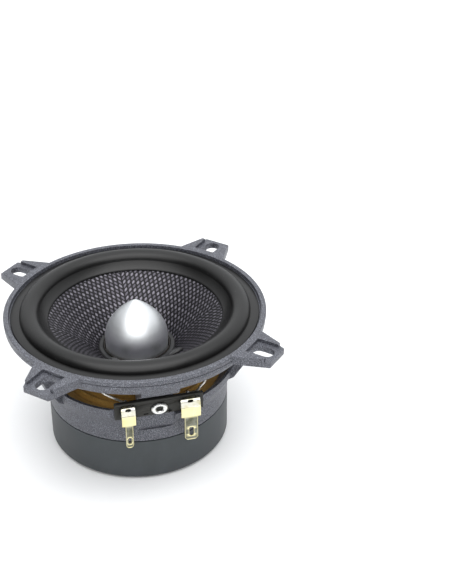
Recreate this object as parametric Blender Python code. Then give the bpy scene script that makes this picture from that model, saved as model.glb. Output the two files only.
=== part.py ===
"""A 100 mm woven-cone car door speaker with a fixed metal phase plug.

The speaker lies on its back with the cone facing up (+Z). The origin is on the
axis, at the rear face of the magnet boot. The four fixing ears point along +X,
+Y, -X and -Y, and the terminals face halfway between +X and -Y. All sizes are
in metres, and heights are measured from the rear face.
"""

import math

import bmesh
import bpy
from mathutils import Vector

# Driving dimensions ---------------------------------------------------------
GAP = 0.0003                      # kept between pieces that touch
ROUND = 48                        # sides of a large turned piece
SMALL_ROUND = 12                  # sides of a hole, a screw or a rivet

RIM_TOP = 0.0573                  # height of the front rim
RIM_RADIUS = 0.0516
FLANGE_THICKNESS = 0.0038
RIM_LAND = 0.0020                 # width of the flat land round the surround
RECESS_DEPTH = 0.0018             # seat of the surround below the rim
SKIRT_DEPTH = 0.0077              # skirt below the rim
CUP_RADIUS = 0.0363
CUP_BOTTOM = 0.0188
CUP_TOP = 0.0353                  # lower edge of the windows
CUP_LIP_RADIUS = 0.0394           # the cup flares out to this lip
SPIDER_LEDGE = 0.0297
TERMINAL_SIDE = -90.0             # the terminals, in degrees round the basket
SPOKES = ((0, 0.0072), (61, 0.0024), (119, 0.0024), (180, 0.0024), (241, 0.0024), (299, 0.0024))
TURN = 45.0                       # brings the ears onto the X and Y axes

HOLE_CIRCLE_RADIUS = 0.0575       # the usual 115 mm hole circle
SLOT_WIDTH = 0.0057
SLOT_LENGTH = 0.0089
EAR_REACH = 0.0636
EAR_TIP_WIDTH = 0.0111
EAR_ROOT_WIDTH = 0.0212
EAR_POCKET_WIDTH = 0.0099
EAR_POCKET_DEPTH = 0.0014

CONE_EDGE_RADIUS = 0.0375
CONE_NECK_RADIUS = 0.01355
CONE_VISIBLE_RADIUS = 0.0343      # inner edge of the surround's land
CONE_EDGE_DROP = 0.0039           # front face below the rim at that radius
CONE_SLOPE = 0.56                 # rise over run of the front face there
CONE_CURVE = 10.7                 # how much steeper it gets towards the neck, per metre
CONE_THICKNESS = 0.0006
ROLL_HALF_WIDTH = 0.00375         # half roll of the surround
ROLL_HEIGHT = 0.0031
ROLL_CENTRE = 0.04165
SPIDER_THICKNESS = 0.0004

BOOT_WALL = 0.0015
YOKE_RADIUS = 0.0338
POLE_RADIUS = 0.01245
MAGNET_RADIUS = 0.0343
PLUG_RADIUS = 0.0125
PLUG_TIP = 0.0603
PLUG_NOSE = 0.0158                # length of the tapering part of the phase plug
FORMER_INNER = 0.0130
FORMER_OUTER = 0.01325
FORMER_LOW = 0.0115
FORMER_TOP = 0.0401
SCREW_CIRCLE_RADIUS = 0.0235      # screws through the basket floor
SCREW_ANGLE = 41.25               # of the first of them, from the positive ear
DAB_RADIUS = 0.0197               # lead exits on the cone
DAB_ANGLE = 35.5                  # to each side of the terminals

BOARD_CENTRE = Vector((0.0012, -0.0362, 0.0349))
BOARD_SIZE = Vector((0.0342, 0.0016, 0.0070))
RIVET_PLACE = BOARD_CENTRE - Vector((0, 0, 0.0006))
EYE_ABOVE_TIP = 0.0018
SOLDER_Y = -0.0330                # behind the board, at the end of a lug's tail
SOLDER_HEIGHT = 0.0362
LEAD_DIAMETER = 0.0010


# Tools ----------------------------------------------------------------------
def clear_scene():
    for item in list(bpy.context.scene.objects):
        bpy.data.objects.remove(item)


def make_material(name, colour, roughness, metallic=0.0):
    material = bpy.data.materials.new(name)
    material.use_nodes = True
    shader = material.node_tree.nodes["Principled BSDF"]
    shader.inputs["Base Color"].default_value = (*colour, 1.0)
    shader.inputs["Roughness"].default_value = roughness
    shader.inputs["Metallic"].default_value = metallic
    material.diffuse_color = (*colour, 1.0)
    return material


def make_object(name, mesh, material=None, parent=None):
    thing = bpy.data.objects.new(name, mesh)
    bpy.context.scene.collection.objects.link(thing)
    thing.parent = parent
    if material:
        mesh.materials.append(material)
    return thing


def finish_mesh(bm, name, smooth=True):
    """Face the mesh outward and shade its round sides smooth."""
    bmesh.ops.recalc_face_normals(bm, faces=bm.faces)
    mesh = bpy.data.meshes.new(name)
    bm.to_mesh(mesh)
    bm.free()
    if smooth:
        mesh.shade_smooth()
        mesh.set_sharp_from_angle(angle=math.radians(30))
    return mesh


def turned_mesh(name, outline, sides=ROUND):
    """Spin a closed outline of (radius, height) points round the Z axis."""
    bm = bmesh.new()
    points = [bm.verts.new((radius, 0.0, height)) for radius, height in outline]
    for first, second in zip(points, points[1:] + points[:1]):
        if first.co.x > 1e-7 or second.co.x > 1e-7:
            bm.edges.new((first, second))
    bmesh.ops.spin(bm, geom=list(bm.verts) + list(bm.edges), cent=(0, 0, 0), axis=(0, 0, 1),
                   angle=math.tau, steps=sides, use_merge=True)
    bmesh.ops.remove_doubles(bm, verts=bm.verts, dist=1e-6)
    bmesh.ops.dissolve_degenerate(bm, edges=bm.edges, dist=1e-7)
    return finish_mesh(bm, name)


def turned(name, outline, material, parent, sides=ROUND):
    return make_object(name, turned_mesh(name, outline, sides), material, parent)


def prism_mesh(name, outline, low, high):
    """Extrude a closed plan outline of (x, y) points from one height to another."""
    bm = bmesh.new()
    base = bm.faces.new([bm.verts.new((x, y, low)) for x, y in outline])
    grown = bmesh.ops.extrude_face_region(bm, geom=[base])
    top = [item for item in grown["geom"] if isinstance(item, bmesh.types.BMVert)]
    bmesh.ops.translate(bm, verts=top, vec=(0, 0, high - low))
    return finish_mesh(bm, name, smooth=False)


def slab_mesh(name, outline, half_width):
    """Extrude a closed side outline of (radius, height) points to both sides of the XZ plane."""
    bm = bmesh.new()
    base = bm.faces.new([bm.verts.new((x, -half_width, z)) for x, z in outline])
    grown = bmesh.ops.extrude_face_region(bm, geom=[base])
    far = [item for item in grown["geom"] if isinstance(item, bmesh.types.BMVert)]
    bmesh.ops.translate(bm, verts=far, vec=(0, 2 * half_width, 0))
    return finish_mesh(bm, name, smooth=False)


def box_mesh(name, low, high):
    outline = [(low[0], low[1]), (high[0], low[1]), (high[0], high[1]), (low[0], high[1])]
    return prism_mesh(name, outline, low[2], high[2])


def rod_mesh(name, radius, low, high, sides=SMALL_ROUND):
    return turned_mesh(name, [(0, low), (radius, low), (radius, high), (0, high)], sides)


def stadium(length, width, centre_x, steps=6):
    """A slot outline with round ends, long along X."""
    radius = width / 2
    straight = length / 2 - radius
    points = []
    for side, start in ((1, -90), (-1, 90)):
        for step in range(steps + 1):
            angle = math.radians(start + 180 * step / steps)
            points.append((centre_x + side * straight + radius * math.cos(angle),
                           radius * math.sin(angle)))
    return points


def helper(name, mesh, parent, angle=0.0, location=(0, 0, 0)):
    """A hidden cutter or added shape for a Boolean, turned round the axis."""
    thing = make_object(name, mesh, None, parent)
    thing.rotation_euler.z = math.radians(angle)
    thing.location = location
    thing.hide_render = True
    thing.display_type = "WIRE"
    return thing


def combine(target, tool, operation):
    boolean = target.modifiers.new(tool.name, "BOOLEAN")
    boolean.operation = operation
    boolean.solver = "EXACT"
    boolean.object = tool


def around(radius, angle, height=0.0):
    turn = math.radians(angle)
    return Vector((radius * math.cos(turn), radius * math.sin(turn), height))


# Basket ---------------------------------------------------------------------
def basket_outline():
    """Half section of the casting: rim, skirt, sloping wall, spider ledge and floor."""
    rim_inner = RIM_RADIUS - RIM_LAND
    recess = RIM_TOP - RECESS_DEPTH
    underside = RIM_TOP - FLANGE_THICKNESS
    skirt_end = RIM_TOP - SKIRT_DEPTH
    floor_top = CUP_BOTTOM + 0.0024
    return [
        (rim_inner, RIM_TOP), (RIM_RADIUS, RIM_TOP),
        (RIM_RADIUS, recess), (RIM_RADIUS - 0.0004, recess - 0.0002),
        (RIM_RADIUS - 0.0004, underside), (0.0492, underside),
        (0.0480, skirt_end), (CUP_LIP_RADIUS, CUP_TOP),
        (CUP_LIP_RADIUS, 0.0322), (CUP_RADIUS + 0.0001, 0.0266),
        (CUP_RADIUS, CUP_BOTTOM), (0.0155, CUP_BOTTOM),
        (0.0155, floor_top), (0.0313, floor_top),
        (0.0313, SPIDER_LEDGE), (0.0343, SPIDER_LEDGE),
        (0.0343, 0.0308), (CUP_LIP_RADIUS - 0.0009, CUP_TOP + 0.0003),
        (0.0464, skirt_end + 0.0010), (0.0466, underside - 0.0004), (0.0450, underside),
        (0.0450, recess), (rim_inner, recess),
    ]


def window_plan(first, second):
    """Wedge between two spokes, whose sides run parallel to the spokes."""
    angles = [math.radians(TERMINAL_SIDE + spoke[0]) for spoke in (first, second)]
    along = [Vector((math.cos(angle), math.sin(angle))) for angle in angles]
    spread = angles[1] - angles[0]
    first_reach = (second[1] + first[1] * math.cos(spread)) / math.sin(spread)
    across = Vector((-along[0].y, along[0].x))
    apex = along[0] * first_reach + across * first[1]
    reach = 0.060
    return [tuple(apex), tuple(apex + along[0] * reach), tuple(apex + along[1] * reach)]


def build_basket(material, parent):
    basket = turned("basket", basket_outline(), material, parent)
    underside = RIM_TOP - FLANGE_THICKNESS
    skirt_end = RIM_TOP - SKIRT_DEPTH

    closed = SPOKES[1:] + ((SPOKES[0][0] + 360, SPOKES[0][1]),)
    for index, (first, second) in enumerate(zip(SPOKES, closed)):
        plan = window_plan(first, second)
        window = helper(f"window_{index}", prism_mesh("window", plan, CUP_TOP, skirt_end), parent)
        combine(basket, window, "DIFFERENCE")

    rib = [(0.0374, 0.0292), (0.0404, 0.0312), (0.0448, 0.0385), (0.0494, 0.0500),
           (0.0494, underside + 0.0006), (0.0475, underside + 0.0006), (0.0470, 0.0502),
           (0.0384, 0.0355), (0.0384, 0.0325), (0.0370, 0.0300)]
    for index, (angle, half_width) in enumerate(SPOKES[1:]):
        gusset = helper(f"rib_{index}", slab_mesh("rib", rib, half_width / 2), parent, TERMINAL_SIDE + angle)
        combine(basket, gusset, "UNION")

    bracket = [(0.0330, 0.0310), (0.0367, 0.0310), (0.0367, 0.0398), (0.0472, 0.0481), (0.0472, 0.0505),
               (0.0450, 0.0505), (0.0370, 0.0436), (0.0330, 0.0415)]
    terminal_bracket = helper("terminal_bracket", slab_mesh("bracket", bracket, SPOKES[0][1]), parent,
                              TERMINAL_SIDE)
    combine(basket, terminal_bracket, "UNION")
    seat_side = [(0.0351, 0.0309), (0.0600, 0.0309), (0.0600, 0.0480), (0.0476, 0.0480), (0.0375, 0.0400),
                 (0.0351, 0.0394)]
    seat = helper("board_seat", slab_mesh("seat", seat_side, 0.0188), parent, TERMINAL_SIDE)
    seat.location.x = BOARD_CENTRE.x
    combine(basket, seat, "DIFFERENCE")
    recess = helper("board_recess", box_mesh("recess", (-0.0076, -0.0500, 0.0242), (0.0072, -0.0356, 0.0315)),
                    parent)
    combine(basket, recess, "DIFFERENCE")
    rivet_hole = helper("rivet_hole", rod_mesh("hole", 0.0018, -0.0050, 0.0050), parent,
                        location=RIVET_PLACE)
    rivet_hole.rotation_euler.x = math.radians(90)
    combine(basket, rivet_hole, "DIFFERENCE")

    root = RIM_RADIUS - 0.0016
    ear_plan = [(root, -EAR_ROOT_WIDTH / 2), (EAR_REACH, -EAR_TIP_WIDTH / 2),
                (EAR_REACH, EAR_TIP_WIDTH / 2), (root, EAR_ROOT_WIDTH / 2)]
    pocket_floor = RIM_TOP - EAR_POCKET_DEPTH
    pocket_start = HOLE_CIRCLE_RADIUS - SLOT_LENGTH / 2 - 0.0004
    half_pocket = EAR_POCKET_WIDTH / 2
    for index in range(4):
        angle = 90 * index - TURN
        ear = helper(f"ear_{index}", prism_mesh("ear", ear_plan, underside, RIM_TOP), parent, angle)
        combine(basket, ear, "UNION")
        pocket = helper(f"ear_pocket_{index}", box_mesh("pocket", (pocket_start, -half_pocket, pocket_floor),
                                                        (0.070, half_pocket, 0.060)), parent, angle)
        combine(basket, pocket, "DIFFERENCE")
        notch = helper(f"ear_notch_{index}", box_mesh("notch", (EAR_REACH - 0.0024, -0.010, pocket_floor),
                                                      (0.070, 0.010, 0.060)), parent, angle)
        combine(basket, notch, "DIFFERENCE")
        slot_plan = stadium(SLOT_LENGTH, SLOT_WIDTH, HOLE_CIRCLE_RADIUS)
        slot = helper(f"ear_slot_{index}", prism_mesh("slot", slot_plan, 0.050, 0.060), parent, angle)
        combine(basket, slot, "DIFFERENCE")

    for index in range(4):
        hole = helper(f"floor_hole_{index}", rod_mesh("hole", 0.0018, 0.017, 0.023), parent,
                      location=around(SCREW_CIRCLE_RADIUS, SCREW_ANGLE + 90 * index))
        combine(basket, hole, "DIFFERENCE")
    return basket


# Motor ----------------------------------------------------------------------
def build_motor(materials, parent):
    boot = [(0, 0), (CUP_RADIUS - 0.0014, 0), (CUP_RADIUS, 0.0014), (CUP_RADIUS, CUP_BOTTOM - GAP),
            (CUP_RADIUS - BOOT_WALL, CUP_BOTTOM - GAP), (CUP_RADIUS - BOOT_WALL, BOOT_WALL), (0, BOOT_WALL)]
    turned("magnet_boot", boot, materials["rubber"], parent)

    plate_low = BOOT_WALL + GAP
    plate_high = 0.0059
    pole_top = 0.0198
    bore = 0.0023
    yoke = [(0.0046, plate_low), (YOKE_RADIUS, plate_low), (YOKE_RADIUS, plate_high),
            (POLE_RADIUS, plate_high), (POLE_RADIUS, pole_top), (bore, pole_top), (bore, 0.0048),
            (0.0046, 0.0048)]
    turned("t_yoke", yoke, materials["steel"], parent)

    magnet_high = 0.0142
    ring = [(0.0165, plate_high + GAP), (MAGNET_RADIUS, plate_high + GAP), (MAGNET_RADIUS, magnet_high),
            (0.0165, magnet_high)]
    turned("magnet", ring, materials["ferrite"], parent)

    top_low = magnet_high + GAP
    top_high = CUP_BOTTOM - GAP
    washer = [(0.0144, top_low), (YOKE_RADIUS, top_low), (YOKE_RADIUS, top_high), (0.0144, top_high)]
    top_plate = turned("top_plate", washer, materials["steel"], parent)
    screw = [(0, 0.0150), (0.0015, 0.0150), (0.0015, 0.0215), (0.0028, 0.0215), (0.0028, 0.0232), (0, 0.0232)]
    screw_mesh = turned_mesh("basket_screw", screw, SMALL_ROUND)
    for index in range(4):
        place = around(SCREW_CIRCLE_RADIUS, SCREW_ANGLE + 90 * index)
        hole = helper(f"plate_hole_{index}", rod_mesh("hole", 0.0018, 0.010, 0.020), parent, location=place)
        combine(top_plate, hole, "DIFFERENCE")
        fastener = make_object(f"basket_screw_{index + 1}", screw_mesh.copy(), materials["zinc"], parent)
        fastener.location = place


def build_phase_plug(materials, parent):
    """A bullet on top of the pole, held by one screw up through the pole."""
    base = 0.0198 + GAP
    shoulder = PLUG_TIP - PLUG_NOSE
    steps = 9
    outline = [(0.0023, base), (PLUG_RADIUS, base), (PLUG_RADIUS, shoulder)]
    for step in range(1, steps):
        rise = step / steps
        radius = PLUG_RADIUS * (1 - rise ** 1.95) ** 0.95
        outline.append((radius, shoulder + PLUG_NOSE * rise))
    outline += [(0, PLUG_TIP), (0, base + 0.0100), (0.0023, base + 0.0100)]
    turned("phase_plug", outline, materials["aluminium"], parent)

    head_low = BOOT_WALL + 2 * GAP
    screw = [(0, head_low), (0.0040, head_low), (0.0040, 0.0045), (0.0020, 0.0045), (0.0020, base + 0.0090),
             (0, base + 0.0090)]
    turned("phase_plug_screw", screw, materials["zinc"], parent, SMALL_ROUND)


# Moving cone ----------------------------------------------------------------
def cone_height(radius):
    """Height of the cone's front face, which steepens towards the neck."""
    inward = CONE_VISIBLE_RADIUS - radius
    return RIM_TOP - CONE_EDGE_DROP - CONE_SLOPE * inward - CONE_CURVE * inward ** 2


def cone_slope(radius):
    return CONE_SLOPE + 2 * CONE_CURVE * (CONE_VISIBLE_RADIUS - radius)


def build_cone_group(materials, parent):
    steps = 5
    front = []
    for step in range(steps + 1):
        radius = CONE_EDGE_RADIUS + (CONE_NECK_RADIUS - CONE_EDGE_RADIUS) * step / steps
        front.append((radius, cone_height(radius)))
    back = [(radius, height - CONE_THICKNESS) for radius, height in reversed(front)]
    turned("cone", front + back, materials["weave"], parent)

    glue_outer = 0.0152
    glue = [(CONE_NECK_RADIUS, cone_height(CONE_NECK_RADIUS) + GAP),
            (glue_outer, cone_height(glue_outer) + GAP),
            (0.0146, cone_height(glue_outer) + 0.0007),
            (CONE_NECK_RADIUS, cone_height(glue_outer) + 0.0009)]
    turned("neck_glue_ring", glue, materials["glue"], parent)

    former = [(FORMER_INNER, FORMER_LOW), (FORMER_OUTER, FORMER_LOW), (FORMER_OUTER, FORMER_TOP),
              (FORMER_INNER, FORMER_TOP)]
    turned("voice_coil_former", former, materials["kapton"], parent)
    winding = [(0.0135, 0.0123), (0.01395, 0.0123), (0.01395, 0.0207), (0.0135, 0.0207)]
    turned("voice_coil_winding", winding, materials["copper"], parent)

    tilt = -math.atan(cone_slope(DAB_RADIUS))
    for name, side in (("lead_dab_negative", -1), ("lead_dab_positive", 1)):
        dome = [(0, 0), (0.0028, 0)]
        for step in range(1, 4):
            angle = math.radians(90 * step / 4)
            dome.append((0.0028 * math.cos(angle), 0.0020 * math.sin(angle)))
        dome.append((0, 0.0020))
        dab = turned(name, dome, materials["glue"], parent, SMALL_ROUND)
        turn = TERMINAL_SIDE + side * DAB_ANGLE
        dab.rotation_euler = (0, tilt, math.radians(turn))
        lift = 0.00035
        base_height = cone_height(DAB_RADIUS) + lift * math.cos(tilt)
        base = around(DAB_RADIUS - lift * math.sin(-tilt), turn, base_height)
        dab.location = base - parent.location


def build_suspension(materials, parent):
    """The rubber surround at the front and the corrugated spider at the back."""
    seat = RIM_TOP - RECESS_DEPTH + GAP
    skin = 0.0006
    base = RIM_TOP - 0.00093
    land_inner = CONE_VISIBLE_RADIUS
    land_outer = ROLL_CENTRE - ROLL_HALF_WIDTH
    steps = 6
    outline = [(0.0492, seat), (0.0492, base)]
    for step in range(steps + 1):
        angle = math.pi * step / steps
        outline.append((ROLL_CENTRE + ROLL_HALF_WIDTH * math.cos(angle),
                        base + ROLL_HEIGHT * math.sin(angle)))
    outline.append((land_inner, cone_height(land_inner) + 0.0008))
    outline.append((land_inner, cone_height(land_inner) + GAP))
    outline.append((land_outer - 0.0004, cone_height(land_outer - 0.0004) + GAP))
    for step in range(steps + 1):
        angle = math.pi * (1 - step / steps)
        outline.append((ROLL_CENTRE + (ROLL_HALF_WIDTH - skin) * math.cos(angle),
                        base - GAP + (ROLL_HEIGHT - skin) * math.sin(angle)))
    outline.append((ROLL_CENTRE + ROLL_HALF_WIDTH, seat))
    turned("surround", outline, materials["rubber"], parent)

    hub = CONE_NECK_RADIUS
    first_wave = 0.0155
    last_wave = 0.0312
    waves = 5
    height = SPIDER_LEDGE + GAP
    upper = [(0.0340, height + SPIDER_THICKNESS), (last_wave, height + SPIDER_THICKNESS)]
    for step in range(2 * waves - 1, 0, -1):
        radius = first_wave + (last_wave - first_wave) * step / (2 * waves)
        swing = 0.0009 if step % 2 else -0.0007
        upper.append((radius, height + SPIDER_THICKNESS + swing))
    upper += [(first_wave, height + SPIDER_THICKNESS), (hub, height + SPIDER_THICKNESS)]
    lower = [(radius, z - SPIDER_THICKNESS) for radius, z in reversed(upper)]
    turned("spider", upper + lower, materials["cloth"], parent)


# Terminals ------------------------------------------------------------------
def lug_rows(head_width, blade_width, tip_height):
    """The bent strip from the tail behind the board to the blade's tip: y, height, width."""
    front = -0.0393
    slot = BOARD_CENTRE.z + 0.0020
    return [(-0.0340, slot, 0.0040), (-0.0377, slot, 0.0040),
            (-0.0380, slot - 0.0003, head_width), (front, 0.0337, head_width), (front, 0.0297, head_width),
            (front, 0.0295, blade_width), (front, tip_height + 0.0008, blade_width),
            (front, tip_height, blade_width * 0.5)]


def build_lug(name, centre_x, head_width, blade_width, hole_size, tip_height, material, parent):
    bm = bmesh.new()
    previous = None
    for y, z, width in lug_rows(head_width, blade_width, tip_height):
        row = [bm.verts.new((side * width / 2, y, z)) for side in (-1, 1)]
        if previous:
            bm.faces.new((previous[0], previous[1], row[1], row[0]))
        previous = row
    strip = finish_mesh(bm, name, smooth=False)
    lug = make_object(name, strip, material, parent)
    lug.location.x = centre_x
    thicken = lug.modifiers.new("thickness", "SOLIDIFY")
    thicken.thickness = 0.0006
    thicken.offset = 0.0
    thicken.use_even_offset = True
    width, height = hole_size
    low = (-width / 2, -0.042, tip_height + EYE_ABOVE_TIP)
    high = (width / 2, -0.037, tip_height + EYE_ABOVE_TIP + height)
    eye = helper(f"{name}_eye", box_mesh("eye", low, high), parent, location=(centre_x, 0, 0))
    combine(lug, eye, "DIFFERENCE")


def build_lead(name, points, material, parent):
    """A braided lead as a tube along a smooth curve through its own points."""
    places = [Vector(point) for point in points]
    padded = [2 * places[0] - places[1]] + places + [2 * places[-1] - places[-2]]
    route = []
    for index in range(1, len(padded) - 2):
        before, start, end, after = padded[index - 1:index + 3]
        steps = 5
        for step in range(steps):
            t = step / steps
            square = 2 * before - 5 * start + 4 * end - after
            cube = 3 * start - before - 3 * end + after
            route.append(0.5 * (2 * start + (end - before) * t + square * t ** 2 + cube * t ** 3))
    route.append(places[-1])
    curve = bpy.data.curves.new(name, "CURVE")
    curve.dimensions = "3D"
    curve.bevel_depth = LEAD_DIAMETER / 2
    curve.bevel_resolution = 2
    curve.use_fill_caps = True
    spline = curve.splines.new("POLY")
    spline.points.add(len(route) - 1)
    for point, place in zip(spline.points, route):
        point.co = (*place, 1.0)
    lead = bpy.data.objects.new(name, curve)
    bpy.context.scene.collection.objects.link(lead)
    lead.parent = parent
    curve.materials.append(material)
    return lead


def build_terminals(materials, parent):
    half = BOARD_SIZE / 2
    board = make_object("terminal_board", box_mesh("board", -half, half), materials["fibre"], parent)
    board.location = BOARD_CENTRE
    slot_height = 0.0020
    lugs = (("negative_terminal", -0.0110, 0.0053, 0.0028, (0.0015, 0.0030), 0.0194),
            ("positive_terminal", 0.0130, 0.0076, 0.0051, (0.0019, 0.0042), 0.0189))
    for name, centre_x, head_width, blade_width, hole_size, tip_height in lugs:
        build_lug(name, centre_x, head_width, blade_width, hole_size, tip_height, materials["tinned"], parent)
        low = (-0.0023, -0.003, slot_height - 0.0006)
        high = (0.0023, 0.003, slot_height + 0.0006)
        slot = helper(f"{name}_slot", box_mesh("slot", low, high), parent,
                      location=(centre_x, BOARD_CENTRE.y, BOARD_CENTRE.z))
        combine(board, slot, "DIFFERENCE")
    hole = helper("board_rivet_hole", rod_mesh("hole", 0.0018, -0.003, 0.003), parent, location=RIVET_PLACE)
    hole.rotation_euler.x = math.radians(90)
    combine(board, hole, "DIFFERENCE")

    front = half.y + GAP
    rivet_outline = [(0, -0.0038), (0.0022, -0.0038), (0.0022, -0.0034), (0.0015, -0.0034), (0.0015, front),
                     (0.0032, front), (0.0032, front + 0.0003), (0.0026, front + 0.0008), (0, front + 0.0008)]
    rivet = turned("terminal_rivet", rivet_outline, materials["zinc"], parent, SMALL_ROUND)
    rivet.location = RIVET_PLACE
    rivet.rotation_euler.x = math.radians(90)
    rivet.scale.y = 0.77              # the flange is oval

    routes = {
        "negative": [(-0.0120, -0.0331, 0.0366), (-0.0131, -0.0333, 0.0375), (-0.0164, -0.0334, 0.0400),
                     (-0.0192, -0.0333, 0.0423), (-0.0209, -0.0310, 0.0443), (-0.0205, -0.0275, 0.0453),
                     (-0.0182, -0.0228, 0.0448), (-0.0145, -0.0185, 0.0432)],
        "positive": [(0.0140, -0.0331, 0.0363), (0.0156, -0.0333, 0.0366), (0.0169, -0.0335, 0.0372),
                     (0.0183, -0.0335, 0.0391), (0.0199, -0.0334, 0.0410), (0.0209, -0.0315, 0.0434),
                     (0.0205, -0.0280, 0.0450), (0.0185, -0.0230, 0.0448), (0.0146, -0.0185, 0.0432)],
    }
    lead_end_height = cone_height(DAB_RADIUS) - 0.0019
    for name, side, centre_x in (("negative", -1, -0.0110), ("positive", 1, 0.0130)):
        ball = [(0, -0.0007), (0.0005, -0.0006), (0.0007, 0), (0.0005, 0.0006), (0, 0.0007)]
        joint = turned(f"solder_joint_{name}", ball, materials["tinned"], parent, SMALL_ROUND)
        joint.location = (centre_x, SOLDER_Y, SOLDER_HEIGHT)
        end = around(DAB_RADIUS, TERMINAL_SIDE + side * DAB_ANGLE, lead_end_height)
        build_lead(f"tinsel_lead_{name}", routes[name] + [tuple(end)], materials["braid"], parent)


# Assembly -------------------------------------------------------------------
def build_speaker():
    clear_scene()
    materials = {
        "paint": make_material("basket_paint", (0.30, 0.31, 0.34), 0.45, 0.6),
        "rubber": make_material("black_rubber", (0.05, 0.052, 0.055), 0.7),
        "steel": make_material("plated_steel", (0.55, 0.55, 0.55), 0.35, 1.0),
        "ferrite": make_material("ferrite", (0.06, 0.06, 0.065), 0.6),
        "aluminium": make_material("satin_aluminium", (0.72, 0.74, 0.78), 0.28, 1.0),
        "zinc": make_material("bright_zinc", (0.75, 0.75, 0.74), 0.3, 1.0),
        "weave": make_material("woven_fibre", (0.06, 0.055, 0.08), 0.4),
        "glue": make_material("black_glue", (0.02, 0.02, 0.022), 0.35),
        "kapton": make_material("former_film", (0.16, 0.09, 0.04), 0.4),
        "copper": make_material("winding_copper", (0.65, 0.32, 0.18), 0.35, 1.0),
        "cloth": make_material("amber_cloth", (0.30, 0.17, 0.06), 0.85),
        "fibre": make_material("black_fibre", (0.06, 0.06, 0.05), 0.7),
        "tinned": make_material("tinned_brass", (0.80, 0.76, 0.60), 0.3, 1.0),
        "braid": make_material("silver_braid", (0.78, 0.76, 0.70), 0.5, 0.8),
    }
    axis = bpy.data.objects.new("speaker_axis", None)
    bpy.context.scene.collection.objects.link(axis)
    axis.rotation_euler.z = math.radians(TURN)
    travel = bpy.data.objects.new("cone_travel_axis", None)
    bpy.context.scene.collection.objects.link(travel)
    travel.parent = axis

    build_basket(materials["paint"], axis)
    build_motor(materials, axis)
    build_phase_plug(materials, axis)
    build_cone_group(materials, travel)
    build_suspension(materials, axis)
    build_terminals(materials, axis)


build_speaker()
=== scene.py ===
import math

import bmesh
import bpy
import numpy as np
from mathutils import Matrix, Vector, noise


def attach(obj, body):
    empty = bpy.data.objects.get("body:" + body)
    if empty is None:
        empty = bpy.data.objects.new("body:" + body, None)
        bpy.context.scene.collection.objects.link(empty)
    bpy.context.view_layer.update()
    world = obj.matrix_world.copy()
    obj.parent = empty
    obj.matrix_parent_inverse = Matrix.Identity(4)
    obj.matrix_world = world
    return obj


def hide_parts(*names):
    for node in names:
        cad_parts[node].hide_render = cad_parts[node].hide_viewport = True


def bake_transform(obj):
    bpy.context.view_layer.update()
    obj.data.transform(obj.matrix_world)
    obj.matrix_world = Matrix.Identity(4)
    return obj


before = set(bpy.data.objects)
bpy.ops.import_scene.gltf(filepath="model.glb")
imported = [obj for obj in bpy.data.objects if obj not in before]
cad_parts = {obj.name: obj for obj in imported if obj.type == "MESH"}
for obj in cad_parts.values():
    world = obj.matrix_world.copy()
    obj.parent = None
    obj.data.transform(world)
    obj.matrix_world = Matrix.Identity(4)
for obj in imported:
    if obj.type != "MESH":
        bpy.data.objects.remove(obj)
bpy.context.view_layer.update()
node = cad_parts

# Basket -----------------------------------------------------------------------------------------
# One casting in aluminium alloy: the rim that seats the surround, four ears with slotted screw
# pads, a short skirt, six ribs and the cup that takes the motor. It is sprayed with a
# fine-grained grey paint, and fixed to the motor's top plate by four screws through its floor.
TURN = math.radians(45)                   # brings the terminals halfway between +X and -Y
TERMINAL_SIDE = -90
RIM_TOP = 0.0573
RIM_RADIUS = 0.0516
RIM_INNER = 0.0496
RIM_GROOVE = 0.0003                       # height of the fine groove under the rim's bead
SEAT_INNER = 0.0450
RIM_UNDERSIDE = 0.0535
SEAT_HEIGHT = 0.0555                      # where the surround's flange lies
SKIRT_END = 0.0496
SKIRT_RADIUS = 0.0480
WINDOW_SILL = 0.0353
SILL_RADIUS = 0.0394
CUP_RADIUS = 0.0363
CUP_BOTTOM = 0.0188
FLOOR_TOP = 0.0212
FLOOR_HOLE = 0.0155
CUP_INNER = 0.0313
SPIDER_SHELF = 0.0297
SHELF_OUTER = 0.0343
RIBS = ((0, 0.0072), (61, 0.0024), (119, 0.0024), (180, 0.0024), (241, 0.0024), (299, 0.0024))
EAR_REACH = 0.0636
EAR_TIP = 0.0111
EAR_ROOT = 0.0212
PAD_DEPTH = 0.0014
PAD_WIDTH = 0.0099
SLOT_CIRCLE = 0.0575
SLOT_LENGTH = 0.0089
SLOT_WIDTH = 0.0057
BOARD_X = 0.0012
BOARD_SEAT_HALF = 0.0188                  # half the width of the flat cut for the board
BOARD_SEAT_Y = -0.0351
FLOOR_SCREW_CIRCLE = 0.0235
FLOOR_SCREW_HOLE = 0.0018
FLOOR_SCREW_ANGLE = 41.25
PAST_RIM = 0.0700                         # how far out the cutting shapes reach
ABOVE_RIM = 0.0600


def rounded(corners, steps=4):
    """A closed outline with an arc at each corner (x, y, radius)."""
    points = []
    for index, (x, y, radius) in enumerate(corners):
        here = Vector((x, y))
        back = Vector(corners[index - 1][:2]) - here
        onward = Vector(corners[(index + 1) % len(corners)][:2]) - here
        if not radius:
            points.append((x, y))
            continue
        half = back.angle(onward) / 2
        reach = min(radius / math.tan(half), 0.49 * back.length, 0.49 * onward.length)
        bisector = (back.normalized() + onward.normalized()).normalized()
        centre = here + bisector * (reach / math.cos(half))
        start = here + back.normalized() * reach - centre
        end = here + onward.normalized() * reach - centre
        sweep = start.angle(end)
        for step in range(steps + 1):
            t = step / steps
            arm = start * math.sin((1 - t) * sweep) + end * math.sin(t * sweep)
            points.append(tuple(centre + arm / math.sin(sweep)))
    return points


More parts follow.
